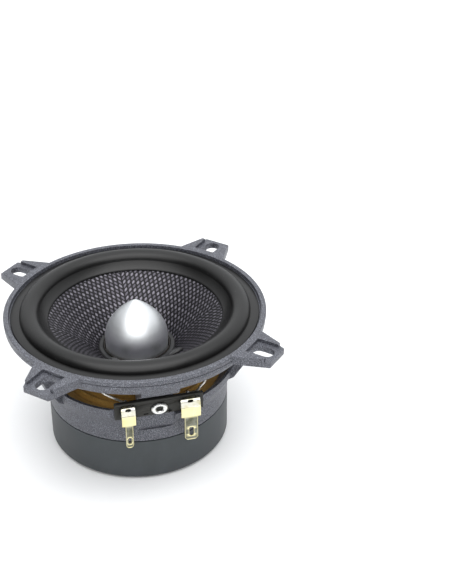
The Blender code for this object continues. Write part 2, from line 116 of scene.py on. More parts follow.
def piece_from(bm, name, smooth_angle=35):
    """Turns a bmesh into an object in the row frame, round faces smooth and edges sharp."""
    bmesh.ops.recalc_face_normals(bm, faces=bm.faces)
    mesh = bpy.data.meshes.new(name)
    bm.to_mesh(mesh)
    bm.free()
    mesh.transform(Matrix.Rotation(TURN, 4, "Z"))
    mesh.shade_smooth()
    mesh.set_sharp_from_angle(angle=math.radians(smooth_angle))
    thing = bpy.data.objects.new(name, mesh)
    bpy.context.scene.collection.objects.link(thing)
    return thing


def turned_bmesh(outline, sides):
    """Spins a closed outline of (radius, height) points round the speaker's axis."""
    bm = bmesh.new()
    points = [bm.verts.new((radius, 0.0, height)) for radius, height in outline]
    for first, second in zip(points, points[1:] + points[:1]):
        if first.co.x > 1e-7 or second.co.x > 1e-7:
            bm.edges.new((first, second))
    bmesh.ops.spin(bm, geom=list(bm.verts) + list(bm.edges), cent=(0, 0, 0), axis=(0, 0, 1),
                   angle=math.tau, steps=sides, use_merge=True)
    bmesh.ops.remove_doubles(bm, verts=bm.verts, dist=1e-6)
    bmesh.ops.dissolve_degenerate(bm, edges=bm.edges, dist=1e-7)
    return bm


def turned(name, outline, sides=192, smooth_angle=35):
    """A finished piece spun from its outline."""
    return piece_from(turned_bmesh(outline, sides), name, smooth_angle)


def prism_bmesh(outline, low, high):
    """Extrudes a plan outline of (x, y) points from one height to another."""
    bm = bmesh.new()
    base = bm.faces.new([bm.verts.new((x, y, low)) for x, y in outline])
    grown = bmesh.ops.extrude_face_region(bm, geom=[base])
    top = [item for item in grown["geom"] if isinstance(item, bmesh.types.BMVert)]
    bmesh.ops.translate(bm, verts=top, vec=(0, 0, high - low))
    return bm


def slab_bmesh(outline, half_width):
    """Extrudes a side outline of (radius, height) points to both sides of the XZ plane."""
    bm = prism_bmesh(outline, -half_width, half_width)
    bmesh.ops.rotate(bm, verts=bm.verts, cent=(0, 0, 0), matrix=Matrix.Rotation(math.pi / 2, 3, "X"))
    return bm


def combine(target, tool_bmesh, operation, angle=0.0):
    """Adds or cuts one tool shape, turned round the axis by an angle in degrees."""
    bmesh.ops.rotate(tool_bmesh, verts=tool_bmesh.verts, cent=(0, 0, 0),
                     matrix=Matrix.Rotation(math.radians(angle), 3, "Z"))
    tool = piece_from(tool_bmesh, "tool")
    boolean = target.modifiers.new("shape", "BOOLEAN")
    boolean.operation = operation
    boolean.solver = "MANIFOLD"
    boolean.object = tool
    bpy.context.view_layer.update()
    shaped = bpy.data.meshes.new_from_object(target.evaluated_get(bpy.context.evaluated_depsgraph_get()))
    target.modifiers.clear()
    target.data = shaped
    bpy.data.objects.remove(tool)


def window_tool(first, second):
    """The opening between two ribs, its sides parallel to them and its lower corners rounded."""
    angles = [math.radians(TERMINAL_SIDE + rib[0]) for rib in (first, second)]
    along = [Vector((math.cos(angle), math.sin(angle))) for angle in angles]
    spread = angles[1] - angles[0]
    first_reach = (second[1] + first[1] * math.cos(spread)) / math.sin(spread)
    apex = along[0] * first_reach + Vector((-along[0].y, along[0].x)) * first[1]
    corners = [apex, apex + along[0] * 0.060, apex + along[1] * 0.060]
    bm = prism_bmesh(corners, WINDOW_SILL, SKIRT_END)
    sill_edges = [edge for edge in bm.edges if all(vert.co.z < WINDOW_SILL + 1e-5 for vert in edge.verts)
                  and any((vert.co.xy - apex).length < 1e-5 for vert in edge.verts)]
    bmesh.ops.bevel(bm, geom=sill_edges, offset=0.0034, segments=5, profile=0.5, affect="EDGES")
    return bm


basket = turned("basket_casting", rounded([
    (RIM_INNER, RIM_TOP, 0.00015), (RIM_RADIUS, RIM_TOP, 0.00035),
    (RIM_RADIUS, SEAT_HEIGHT, 0.00015), (RIM_RADIUS - 0.0005, SEAT_HEIGHT, 0.0001),
    (RIM_RADIUS - 0.0005, SEAT_HEIGHT - RIM_GROOVE, 0.0001),
    (RIM_RADIUS - 0.0002, SEAT_HEIGHT - RIM_GROOVE, 0.0001),
    (RIM_RADIUS - 0.0002, RIM_UNDERSIDE, 0.0003), (SKIRT_RADIUS + 0.0012, RIM_UNDERSIDE, 0.0002),
    (SKIRT_RADIUS, SKIRT_END, 0.0003), (SILL_RADIUS, WINDOW_SILL, 0.0002),
    (SILL_RADIUS, 0.0322, 0.002), (CUP_RADIUS + 0.0001, 0.0266, 0.003),
    (CUP_RADIUS, CUP_BOTTOM, 0), (FLOOR_HOLE, CUP_BOTTOM, 0),
    (FLOOR_HOLE, FLOOR_TOP, 0), (CUP_INNER, FLOOR_TOP, 0.0006),
    (CUP_INNER, SPIDER_SHELF, 0.0002), (SHELF_OUTER, SPIDER_SHELF, 0),
    (SHELF_OUTER, 0.0308, 0), (SILL_RADIUS - 0.0009, WINDOW_SILL + 0.0003, 0),
    (0.0464, SKIRT_END + 0.0010, 0), (0.0466, RIM_UNDERSIDE - 0.0004, 0),
    (SEAT_INNER, RIM_UNDERSIDE, 0), (SEAT_INNER, SEAT_HEIGHT, 0), (RIM_INNER, SEAT_HEIGHT, 0.0002)]))

closed_ribs = RIBS[1:] + ((RIBS[0][0] + 360, RIBS[0][1]),)
for first_rib, second_rib in zip(RIBS, closed_ribs):
    combine(basket, window_tool(first_rib, second_rib), "DIFFERENCE")

rib_side = rounded([
    (0.0374, 0.0292, 0), (0.0404, 0.0312, 0.0003), (0.0448, 0.0385, 0.004), (0.0494, 0.0500, 0.002),
    (0.0494, 0.0541, 0), (0.0475, 0.0541, 0), (0.0470, 0.0502, 0), (0.0384, 0.0355, 0),
    (0.0384, 0.0325, 0), (0.0370, 0.0300, 0)])
for rib_angle, half_rib in RIBS[1:]:
    combine(basket, slab_bmesh(rib_side, half_rib / 2), "UNION", TERMINAL_SIDE + rib_angle)

bracket_side = [(0.0330, 0.0310), (0.0367, 0.0310), (0.0367, 0.0398), (0.0472, 0.0481), (0.0472, 0.0505),
                (0.0450, 0.0505), (0.0370, 0.0436), (0.0330, 0.0415)]
combine(basket, slab_bmesh(bracket_side, RIBS[0][1]), "UNION", TERMINAL_SIDE)
seat_plan = [(-BOARD_SEAT_HALF + BOARD_X, -PAST_RIM), (BOARD_SEAT_HALF + BOARD_X, -PAST_RIM),
             (BOARD_SEAT_HALF + BOARD_X, BOARD_SEAT_Y), (-BOARD_SEAT_HALF + BOARD_X, BOARD_SEAT_Y)]
combine(basket, prism_bmesh(seat_plan, 0.0309, 0.0394), "DIFFERENCE")
tab_side = [(0.0351, 0.0390), (0.0375, 0.0400), (0.0476, 0.0480), (0.0600, 0.0480), (0.0600, 0.0390)]
combine(basket, slab_bmesh(tab_side, BOARD_SEAT_HALF), "DIFFERENCE", TERMINAL_SIDE)
recess_face = rounded([(-0.0076, -0.0315, 0), (0.0072, -0.0315, 0), (0.0072, -0.0242, 0.0018),
                       (-0.0076, -0.0242, 0.0006)])
recess_tool = prism_bmesh(recess_face, 0.0356, 0.0500)
bmesh.ops.rotate(recess_tool, verts=recess_tool.verts, cent=(0, 0, 0),
                 matrix=Matrix.Rotation(math.pi / 2, 3, "X"))
bmesh.ops.scale(recess_tool, verts=recess_tool.verts, vec=(1, 1, -1))
combine(basket, recess_tool, "DIFFERENCE")

ear_plan = rounded([(RIM_RADIUS - 0.0016, -EAR_ROOT / 2, 0), (EAR_REACH, -EAR_TIP / 2, 0.0006),
                    (EAR_REACH, EAR_TIP / 2, 0.0006), (RIM_RADIUS - 0.0016, EAR_ROOT / 2, 0)])
pad_floor = RIM_TOP - PAD_DEPTH
pad_start = SLOT_CIRCLE - SLOT_LENGTH / 2 - 0.0004
pad_plan = rounded([(pad_start, -PAD_WIDTH / 2, 0.0003), (PAST_RIM, -PAD_WIDTH / 2, 0),
                    (PAST_RIM, PAD_WIDTH / 2, 0), (pad_start, PAD_WIDTH / 2, 0.0003)])
tip_start = EAR_REACH - 0.0024
tip_plan = [(tip_start, -EAR_TIP), (PAST_RIM, -EAR_TIP), (PAST_RIM, EAR_TIP), (tip_start, EAR_TIP)]
slot_corner = SLOT_WIDTH / 2 - 0.00001
slot_plan = rounded([(SLOT_CIRCLE + x * SLOT_LENGTH / 2, y * SLOT_WIDTH / 2, slot_corner)
                     for x, y in ((-1, -1), (1, -1), (1, 1), (-1, 1))], steps=10)
for quarter in range(4):
    turn = 90 * quarter - 45
    ear = prism_bmesh(ear_plan, RIM_UNDERSIDE, RIM_TOP)
    top_edges = [edge for edge in ear.edges
                 if abs(edge.verts[0].co.z - edge.verts[1].co.z) < 1e-6
                 and min(vert.co.x for vert in edge.verts) > RIM_RADIUS - 0.0018
                 and max(vert.co.x for vert in edge.verts) > RIM_RADIUS]
    bmesh.ops.bevel(ear, geom=top_edges, offset=0.00022, segments=2, profile=0.5, affect="EDGES")
    combine(basket, ear, "UNION", turn)
    combine(basket, prism_bmesh(pad_plan, pad_floor, ABOVE_RIM), "DIFFERENCE", turn)
    combine(basket, prism_bmesh(tip_plan, pad_floor, ABOVE_RIM), "DIFFERENCE", turn)
    combine(basket, prism_bmesh(slot_plan, 0.0500, ABOVE_RIM), "DIFFERENCE", turn)
for quarter in range(4):
    screw_hole = turned_bmesh([(0, 0.0170), (FLOOR_SCREW_HOLE, 0.0170),
                               (FLOOR_SCREW_HOLE, 0.0230), (0, 0.0230)], 24)
    bmesh.ops.translate(screw_hole, verts=screw_hole.verts, vec=(FLOOR_SCREW_CIRCLE, 0, 0))
    combine(basket, screw_hole, "DIFFERENCE", FLOOR_SCREW_ANGLE + 90 * quarter)
basket.data.shade_smooth()
basket.data.set_sharp_from_angle(angle=math.radians(30))


def surface(name, colour, roughness, metallic=0.0, **constants):
    """A material whose shader sockets are set from the words given; returns its tree and shader."""
    material = bpy.data.materials.new(name)
    material.use_nodes = True
    tree = material.node_tree
    shader = tree.nodes["Principled BSDF"]
    shader.inputs["Base Color"].default_value = (*colour, 1.0)
    shader.inputs["Roughness"].default_value = roughness
    shader.inputs["Metallic"].default_value = metallic
    for socket, value in constants.items():
        shader.inputs[socket.replace("_", " ")].default_value = value
    return material, tree, shader


def grain(tree, scale, detail=4.0, roughness=0.6, stretch=(1, 1, 1)):
    """A noise over the object's own coordinates, with its scale in cycles per metre."""
    place = tree.nodes.new("ShaderNodeTexCoord")
    mapping = tree.nodes.new("ShaderNodeMapping")
    mapping.inputs["Scale"].default_value = stretch
    texture = tree.nodes.new("ShaderNodeTexNoise")
    texture.inputs["Scale"].default_value = scale
    texture.inputs["Detail"].default_value = detail
    texture.inputs["Roughness"].default_value = roughness
    tree.links.new(place.outputs["Object"], mapping.inputs["Vector"])
    tree.links.new(mapping.outputs["Vector"], texture.inputs["Vector"])
    return texture.outputs["Fac"]


def graded(tree, value, stops):
    """A colour ramp through (position, colour) stops."""
    ramp = tree.nodes.new("ShaderNodeValToRGB")
    elements = ramp.color_ramp.elements
    while len(elements) < len(stops):
        elements.new(0.5)
    for element, (position, colour) in zip(elements, stops):
        element.position = position
        element.color = (*colour, 1.0)
    tree.links.new(value, ramp.inputs["Fac"])
    return ramp.outputs["Color"]


def ranged(tree, value, low, high, start=0.3, end=0.7):
    """The value spread between two limits."""
    spread = tree.nodes.new("ShaderNodeMapRange")
    spread.inputs["From Min"].default_value = start
    spread.inputs["From Max"].default_value = end
    spread.inputs["To Min"].default_value = low
    spread.inputs["To Max"].default_value = high
    tree.links.new(value, spread.inputs["Value"])
    return spread.outputs["Result"]


def mixed(tree, share, first, second, mode="MIX"):
    """Two colours mixed by a share, a socket or a number."""
    mixer = tree.nodes.new("ShaderNodeMix")
    mixer.data_type = "RGBA"
    mixer.blend_type = mode
    for key, value in ((0, share), (6, first), (7, second)):
        if isinstance(value, bpy.types.NodeSocket):
            tree.links.new(value, mixer.inputs[key])
        else:
            mixer.inputs[key].default_value = (*value, 1.0) if isinstance(value, tuple) else value
    return mixer.outputs[2]


def raised(tree, shader, height, distance, strength):
    """Adds a bump of that many metres."""
    bump = tree.nodes.new("ShaderNodeBump")
    bump.inputs["Distance"].default_value = distance
    bump.inputs["Strength"].default_value = strength
    tree.links.new(height, bump.inputs["Height"])
    tree.links.new(bump.outputs["Normal"], shader.inputs["Normal"])


def dress(piece, material):
    """Gives a piece or a CAD node its one material."""
    piece.data.materials.clear()
    piece.data.materials.append(material)


paint, tree, shader = surface("grained_grey_paint", (0.2, 0.2, 0.23), 0.5, 0.35, Coat_Weight=0.15,
                              Coat_Roughness=0.35)
flake = grain(tree, 2700, 2.0, 0.6)
cloud = grain(tree, 60, 3.0)
fleck_colour = graded(tree, flake, [(0.35, (0.030, 0.031, 0.038)), (0.50, (0.080, 0.083, 0.098)),
                                    (0.66, (0.250, 0.260, 0.300))])
worn = mixed(tree, ranged(tree, cloud, 0.0, 0.3), fleck_colour, (0.092, 0.094, 0.110))
tree.links.new(worn, shader.inputs["Base Color"])
tree.links.new(ranged(tree, flake, 0.42, 0.58), shader.inputs["Roughness"])
raised(tree, shader, flake, 0.00006, 0.7)
dress(basket, paint)
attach(basket, "fixed_frame")
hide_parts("basket")

# Surround ---------------------------------------------------------------------------------------
# A half roll of moulded black rubber. Its flat flange is glued into the rim's seat and its inner
# land onto the cone's edge, so the roll bends between the two when the cone moves.
LAND_INNER = 0.0343
CONE_EDGE = 0.0375
ROLL_CENTRE = 0.04165
ROLL_HALF = 0.00375
ROLL_HEIGHT = 0.0031
FLANGE_OUTER = 0.0489
FLANGE_TOP = RIM_TOP - 0.00093
SKIN = 0.0006
GLUE_FILM = 0.0003                        # glue between two parts, also used as a gap
CONE_EDGE_DROP = 0.0039
CONE_SLOPE = 0.56
CONE_CURVE = 10.7


def cone_height(radius):
    """Height of the cone's front face, which steepens towards the neck."""
    inward = LAND_INNER - radius
    return RIM_TOP - CONE_EDGE_DROP - CONE_SLOPE * inward - CONE_CURVE * inward ** 2


roll_steps = 28
crest = [(ROLL_CENTRE + ROLL_HALF * math.cos(math.pi * step / roll_steps),
          FLANGE_TOP + ROLL_HEIGHT * math.sin(math.pi * step / roll_steps))
         for step in range(roll_steps + 1)]
hollow = [(ROLL_CENTRE - (ROLL_HALF - SKIN) * math.cos(math.pi * step / roll_steps),
           FLANGE_TOP - 0.0003 + (ROLL_HEIGHT - SKIN) * math.sin(math.pi * step / roll_steps))
          for step in range(roll_steps + 1)]
flange = rounded([(ROLL_CENTRE + ROLL_HALF, SEAT_HEIGHT + GLUE_FILM, 0),
                  (FLANGE_OUTER, SEAT_HEIGHT + GLUE_FILM, 0),
                  (FLANGE_OUTER, FLANGE_TOP, 0.0002)])[:-1]
flange.append((FLANGE_OUTER - 0.0002, FLANGE_TOP))
land_edge = cone_height(LAND_INNER)
land = [(LAND_INNER + 0.0004, cone_height(LAND_INNER + 0.0004) + 0.0009),
        (LAND_INNER + 0.0001, land_edge + 0.0008), (LAND_INNER, land_edge + 0.0006),
        (LAND_INNER, land_edge + GLUE_FILM), (CONE_EDGE, cone_height(CONE_EDGE) + GLUE_FILM)]
surround = turned("surround_roll", flange + crest + land + hollow, 240, 60)

rubber, tree, shader = surface("soft_black_rubber", (0.01, 0.01, 0.01), 0.40, 0.0, Specular_IOR_Level=0.4)
dust = grain(tree, 900, 5.0, 0.65)
smear = grain(tree, 45, 4.0, 0.6, (1, 1, 0.4))
rubbed = graded(tree, smear, [(0.35, (0.004, 0.004, 0.004)), (0.60, (0.006, 0.006, 0.006)),
                              (0.80, (0.010, 0.010, 0.010))])
speck = graded(tree, dust, [(0.66, (0.0, 0.0, 0.0)), (0.78, (1.0, 1.0, 1.0))])
tree.links.new(mixed(tree, 0.05, rubbed, speck, "ADD"), shader.inputs["Base Color"])
tree.links.new(ranged(tree, smear, 0.30, 0.42), shader.inputs["Roughness"])
raised(tree, shader, dust, 0.00003, 0.5)
dress(surround, rubber)


def bends(piece, node_name, weights):
    """Bakes the piece's placement, works out a share for each point from the fixed frame (0) to the moving
    cone (1), which is not kept, and hides the CAD node.
    """
    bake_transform(piece)
    places = np.array([vert.co for vert in piece.data.vertices])
    share = np.clip(weights(places), 0, 1)
    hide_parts(node_name)


def ring_share(outer, inner):
    """Weight from a fixed outer radius to a moving inner one, eased at both."""
    def share(places):
        t = np.clip((outer - np.hypot(places[:, 0], places[:, 1])) / (outer - inner), 0, 1)
        return t * t * (3 - 2 * t)
    return share


bends(surround, "surround", ring_share(ROLL_CENTRE + ROLL_HALF, ROLL_CENTRE - ROLL_HALF))

# Cone -------------------------------------------------------------------------------------------
# A curved cone pressed from one layer of plain-woven glossy fibre set in dark resin. The tows keep
# their pitch along the surface, and each float stands up between the tows that cross it.
CONE_NECK = 0.01355
CONE_THICKNESS = 0.0006
TOW_PITCH = 0.00185
FLOAT_HEIGHT = 0.00016
CONE_SIDES = 900
CONE_RINGS = 100


def cloth_length(plan, along):
    """Length of cloth from the middle line to each plan point, following one tow direction."""
    across = 1 - along
    total = np.zeros(len(plan))
    steps = 24
    for step in range(steps):
        share = (step + 0.5) / steps
        x, y = plan[:, along] * share, plan[:, across]
        radius = np.maximum(np.hypot(x, y), 1e-6)
        slope = (CONE_SLOPE + 2 * CONE_CURVE * (LAND_INNER - radius)) * x / radius
        total += np.sqrt(1 + slope ** 2) * plan[:, along] / steps
    return total


angles = np.linspace(0, math.tau, CONE_SIDES, endpoint=False)
radii = np.linspace(CONE_EDGE, CONE_NECK, CONE_RINGS)
ring_radius, ring_angle = np.meshgrid(radii, angles, indexing="ij")
plan = np.stack([(ring_radius * np.cos(ring_angle)).ravel(),
                 (ring_radius * np.sin(ring_angle)).ravel()], 1)
warp = cloth_length(plan, 0) / TOW_PITCH
weft = cloth_length(plan, 1) / TOW_PITCH
warp_over = (np.floor(warp) + np.floor(weft)) % 2 < 1
across_warp = np.sin(np.pi * (warp % 1))
across_weft = np.sin(np.pi * (weft % 1))
crown = np.where(warp_over, across_warp ** 0.5 * across_weft ** 0.4,
                 across_weft ** 0.5 * across_warp ** 0.4)
relief = FLOAT_HEIGHT * (crown - 0.5)
relief[:CONE_SIDES] = 0
front = np.column_stack([plan, cone_height(np.hypot(plan[:, 0], plan[:, 1])) + relief])
back_radii = np.linspace(CONE_NECK, CONE_EDGE, 14)
back = np.array([(radius * math.cos(angle), radius * math.sin(angle), cone_height(radius) - CONE_THICKNESS)
                 for radius in back_radii for angle in angles])
rows = CONE_RINGS + len(back_radii)
ring_start = np.arange(rows)[:, None] * CONE_SIDES
here = np.arange(CONE_SIDES)[None, :]
beside = (here + 1) % CONE_SIDES
next_start = np.roll(ring_start, -1, axis=0)
quads = np.stack([ring_start + here, ring_start + beside, next_start + beside, next_start + here], -1)
cone_mesh = bpy.data.meshes.new("cone_weave")
cone_mesh.from_pydata(np.vstack([front, back]).tolist(), [], quads.reshape(-1, 4).tolist())
cloth = cone_mesh.attributes.new("cloth", "FLOAT_VECTOR", "POINT")
cloth_values = np.zeros((rows * CONE_SIDES, 3), np.float32)
cloth_values[:len(plan)] = np.column_stack([warp, weft, crown])
cloth_values[len(plan):, 0] = cloth_length(back[:, :2], 0) / TOW_PITCH
cloth_values[len(plan):, 1] = cloth_length(back[:, :2], 1) / TOW_PITCH
cloth.data.foreach_set("vector", cloth_values.ravel())
fibre_angle = np.where(warp_over, 0.0, math.pi / 2) + TURN
fibre_way = np.zeros((rows * CONE_SIDES, 3), np.float32)
fibre_way[:, 0] = 1.0
fibre_way[:len(plan), 0] = np.cos(fibre_angle)
fibre_way[:len(plan), 1] = np.sin(fibre_angle)
fibre_layer = cone_mesh.attributes.new("fibre_way", "FLOAT_VECTOR", "POINT")
fibre_layer.data.foreach_set("vector", fibre_way.ravel())
cone_bmesh = bmesh.new()
cone_bmesh.from_mesh(cone_mesh)
bpy.data.meshes.remove(cone_mesh)
cone = piece_from(cone_bmesh, "cone_weave", 180)

weave, tree, shader = surface("woven_fibre_in_resin", (0.05, 0.046, 0.06), 0.34, 0.6,
                              Specular_IOR_Level=0.5, Anisotropic=0.85)


def calculated(tree, operation, first, second=None):
    """One step of arithmetic on sockets or numbers."""
    step = tree.nodes.new("ShaderNodeMath")
    step.operation = operation
    for index, value in enumerate((first, second)):
        if isinstance(value, bpy.types.NodeSocket):
            tree.links.new(value, step.inputs[index])
        elif value is not None:
            step.inputs[index].default_value = value
    return step.outputs[0]


cloth_place = tree.nodes.new("ShaderNodeAttribute")
cloth_place.attribute_name = "cloth"
split = tree.nodes.new("ShaderNodeSeparateXYZ")
tree.links.new(cloth_place.outputs["Vector"], split.inputs[0])
warp_cell = calculated(tree, "FLOOR", split.outputs[0])
weft_cell = calculated(tree, "FLOOR", split.outputs[1])
parity = calculated(tree, "PINGPONG", calculated(tree, "ADD", warp_cell, weft_cell), 1.0)
filament_turns = 44.0                     # seven filament bundles show on each tow
filament_warp = calculated(tree, "SINE", calculated(tree, "MULTIPLY", split.outputs[0], filament_turns))
filament_weft = calculated(tree, "SINE", calculated(tree, "MULTIPLY", split.outputs[1], filament_turns))
filament = tree.nodes.new("ShaderNodeMix")
tree.links.new(parity, filament.inputs[0])
tree.links.new(filament_warp, filament.inputs[2])
tree.links.new(filament_weft, filament.inputs[3])
resin = grain(tree, 700, 3.0)
# Painted light: the warp floats get a brighter colour as painted glints and the weft floats a darker one as
# painted shade, though both tows are the same fibre.
glinting_warp_colour = graded(tree, resin, [(0.3, (0.100, 0.093, 0.113)), (0.7, (0.200, 0.187, 0.218))])
shaded_weft_colour = graded(tree, resin, [(0.3, (0.055, 0.050, 0.064)), (0.7, (0.120, 0.112, 0.135))])
tow_colour_glint_and_shade = mixed(tree, parity, glinting_warp_colour, shaded_weft_colour)
# Painted shade: where each float dips between the tows that cross it, the colour runs to near black.
pit = ranged(tree, split.outputs[2], 0.0, 1.0, 0.6, 0.9)
tree.links.new(mixed(tree, pit, (0.002, 0.002, 0.003), tow_colour_glint_and_shade), shader.inputs["Base Color"])
tree.links.new(ranged(tree, resin, 0.28, 0.42), shader.inputs["Roughness"])
raised(tree, shader, filament.outputs[0], 0.00001, 0.5)
fibre_node = tree.nodes.new("ShaderNodeAttribute")
fibre_node.attribute_name = "fibre_way"
tree.links.new(fibre_node.outputs["Vector"], shader.inputs["Tangent"])
dress(cone, weave)
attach(cone, "cone_assembly")
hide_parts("cone")

# Neck glue and lead dabs ------------------------------------------------------------------------
# Black adhesive laid by a needle: one bead where the cone's neck meets the former, and a dab over
# each of the two places where the leads come through the cone. It cures with a glossy skin.
DAB_RADIUS = 0.0197
DAB_ANGLE = 35.5
BEAD_OUTER = 0.0155

bead_low = cone_height(BEAD_OUTER)
bead_outline = rounded([
    (CONE_NECK - 0.0001, cone_height(CONE_NECK) - 0.0002, 0), (BEAD_OUTER, bead_low + 0.0001, 0.0001),
    (BEAD_OUTER - 0.0005, bead_low + 0.0009, 0.0003), (CONE_NECK - 0.0001, bead_low + 0.0008, 0.0003)])
bead_bmesh = turned_bmesh(bead_outline, 180)
for vert in bead_bmesh.verts:
    lump = noise.noise(vert.co * 260) * 0.00022
    outward = Vector((vert.co.x, vert.co.y, 0)).normalized()
    vert.co += outward * max(lump, -0.0001) + Vector((0, 0, lump * 0.5))
bead = piece_from(bead_bmesh, "neck_bead", 60)


def toned(tree, shader, pattern, stops, low=None, high=None):
    """Colours a surface by a pattern and, if two limits are given, sets its roughness by it too."""
    tree.links.new(graded(tree, pattern, stops), shader.inputs["Base Color"])
    if high is not None:
        tree.links.new(ranged(tree, pattern, low, high), shader.inputs["Roughness"])


glue, tree, shader = surface("cured_black_glue", (0.01, 0.01, 0.011), 0.4, 0.0, Specular_IOR_Level=0.4)
wrinkle = grain(tree, 420, 4.0)
toned(tree, shader, wrinkle, [(0.3, (0.012, 0.012, 0.013)), (0.75, (0.030, 0.030, 0.031))], 0.32, 0.55)
raised(tree, shader, wrinkle, 0.00006, 0.4)
dress(bead, glue)
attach(bead, "cone_assembly")
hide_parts("neck_glue_ring")

for side, cad_name, length, width in ((-1, "lead_dab_negative", 0.0030, 0.0028),
                                      (1, "lead_dab_positive", 0.0040, 0.0038)):
    dab_bmesh = bmesh.new()
    bmesh.ops.create_uvsphere(dab_bmesh, u_segments=40, v_segments=24, radius=1.0)
    middle_angle = math.radians(TERMINAL_SIDE + side * DAB_ANGLE)
    radial = Vector((math.cos(middle_angle), math.sin(middle_angle), 0))
    tangent = Vector((-radial.y, radial.x, 0))
    for vert in dab_bmesh.verts:
        wobble = 1 + 0.16 * noise.noise(Vector((vert.co.x * 1.3, vert.co.y * 1.3, side * 3.0)))
        outward = DAB_RADIUS + vert.co.x * length * wobble
        plan_place = radial * outward + tangent * vert.co.y * width * wobble
        height = cone_height(plan_place.length) + 0.0001
        thick = 0.0024 * vert.co.z if vert.co.z > 0 else 0.0004 * vert.co.z
        vert.co = Vector((plan_place.x, plan_place.y, height + thick))
    dab = piece_from(dab_bmesh, f"lead_exit_{cad_name.split('_')[-1]}", 80)
    dress(dab, glue)
    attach(dab, "cone_assembly")
    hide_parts(cad_name)

# Voice coil -------------------------------------------------------------------------------------
# Varnished copper wire wound in two layers on a tube of brown film. The tube's front edge stands
# just above the neck glue, round the plug.
FORMER_INNER = 0.0130
FORMER_OUTER = 0.01325
FORMER_LOW = 0.0115
FORMER_TOP = 0.0401
WIRE_TURNS = 34
WIRE_PITCH = 0.00024
WINDING_LOW = 0.0124
WINDING_INNER = 0.0135
former = turned("voice_coil_tube", [(FORMER_INNER, FORMER_LOW), (FORMER_OUTER, FORMER_LOW),
                                    (FORMER_OUTER, FORMER_TOP), (FORMER_INNER, FORMER_TOP)])
film, tree, shader = surface("brown_former_film", (0.02, 0.015, 0.01), 0.4, 0.0, Specular_IOR_Level=0.4)
film_tone = grain(tree, 300, 3.0, 0.5, (1, 1, 0.1))
toned(tree, shader, film_tone, [(0.3, (0.012, 0.010, 0.008)), (0.7, (0.026, 0.020, 0.015))], 0.3, 0.5)
dress(former, film)
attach(former, "cone_assembly")
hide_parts("voice_coil_former")

wire_side = [(WINDING_INNER, WINDING_LOW)]
for turn_index in range(WIRE_TURNS):
    for step in range(4):
        phase = math.pi * step / 4
        wire_side.append((0.01383 + WIRE_PITCH / 2 * math.sin(phase),
                          WINDING_LOW + WIRE_PITCH * (turn_index + step / 4)))
wire_side.append((WINDING_INNER, WINDING_LOW + WIRE_PITCH * WIRE_TURNS))
winding = turned("voice_coil_wire", wire_side, 120, 60)
copper, tree, shader = surface("varnished_copper", (0.65, 0.32, 0.18), 0.3, 1.0)
varnish = grain(tree, 500, 3.0)
toned(tree, shader, varnish, [(0.3, (0.50, 0.22, 0.11)), (0.7, (0.72, 0.38, 0.22))], 0.22, 0.38)
dress(winding, copper)
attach(winding, "cone_assembly")
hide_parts("voice_coil_winding")

# Spider -----------------------------------------------------------------------------------------
# A disc of amber resin-treated cloth pressed into round corrugations. Its rim is glued on the
# basket's shelf and its hub to the former, and it bends between the two.
CLOTH = 0.0004
WAVE_OUTER = 0.0312
WAVE_INNER = 0.0155
WAVE_HEIGHT = 0.0008
HALF_WAVES = 10
spider_height = SPIDER_SHELF + GLUE_FILM
wave_radii = np.linspace(SHELF_OUTER - 0.0003, CONE_NECK, 110)
wave_phase = (wave_radii - WAVE_INNER) / (WAVE_OUTER - WAVE_INNER) * HALF_WAVES * math.pi
swing = np.where((wave_radii < WAVE_OUTER) & (wave_radii > WAVE_INNER), WAVE_HEIGHT * np.sin(wave_phase), 0.0)
spider_top = [(float(radius), spider_height + CLOTH + float(rise)) for radius, rise in zip(wave_radii, swing)]
spider_under = [(radius, height - CLOTH) for radius, height in reversed(spider_top)]
spider = turned("spider_cloth", spider_top + spider_under, 200, 70)
amber, tree, shader = surface("amber_cloth", (0.3, 0.17, 0.06), 0.8, 0.0, Sheen_Weight=0.2)
stain = grain(tree, 90, 3.0)
thread = grain(tree, 1800, 3.0, 0.7)
dyed = graded(tree, stain, [(0.3, (0.560, 0.300, 0.050)), (0.7, (0.720, 0.420, 0.100))])
tree.links.new(mixed(tree, ranged(tree, thread, 0.0, 0.4), dyed, (0.260, 0.130, 0.020)),
               shader.inputs["Base Color"])
raised(tree, shader, thread, 0.00008, 0.6)
dress(spider, amber)
bends(spider, "spider", ring_share(WAVE_OUTER, WAVE_INNER - 0.0005))

# Phase plug -------------------------------------------------------------------------------------
# A bullet turned from aluminium bar, with fine tool rings under a satin finish. It sits on the
# pole and is held by a screw from behind, so it stays still while the cone moves round it.
PLUG_RADIUS = 0.0125
PLUG_TIP = 0.0603
PLUG_BASE = 0.0201
PLUG_BORE = 0.0023                        # radius of the blind hole for its screw
PLUG_BORE_TOP = 0.0301
NOSE_LENGTH = 0.0158
TIP_BLUNTING = 0.12
shoulder = PLUG_TIP - NOSE_LENGTH
nose_steps = 48
plug_outline = [(PLUG_BORE, PLUG_BASE), (PLUG_RADIUS, PLUG_BASE), (PLUG_RADIUS, shoulder)]
for step in range(1, nose_steps):
    rise = math.sin(0.5 * math.pi * step / nose_steps)
    taper = (1 - rise ** 1.95) ** 0.95
    blunted = math.sqrt(taper * taper + TIP_BLUNTING * taper * rise ** 6)
    plug_outline.append((PLUG_RADIUS * blunted, shoulder + (PLUG_TIP - shoulder) * rise))
plug_outline += [(0, PLUG_TIP), (0, PLUG_BORE_TOP), (PLUG_BORE, PLUG_BORE_TOP)]
plug = turned("bullet_plug", plug_outline, 160, 50)
aluminium, tree, shader = surface("satin_turned_aluminium", (0.80, 0.81, 0.83), 0.50, 1.0, Anisotropic=0.3)
tool_ring = grain(tree, 1.0, 2.0, 0.5, (30, 30, 6000))
blush = grain(tree, 120, 3.0)
toned(tree, shader, blush, [(0.3, (0.84, 0.87, 0.89)), (0.7, (0.93, 0.95, 0.97))])
tree.links.new(ranged(tree, tool_ring, 0.42, 0.52), shader.inputs["Roughness"])
dress(plug, aluminium)
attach(plug, "fixed_frame")
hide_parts("phase_plug")

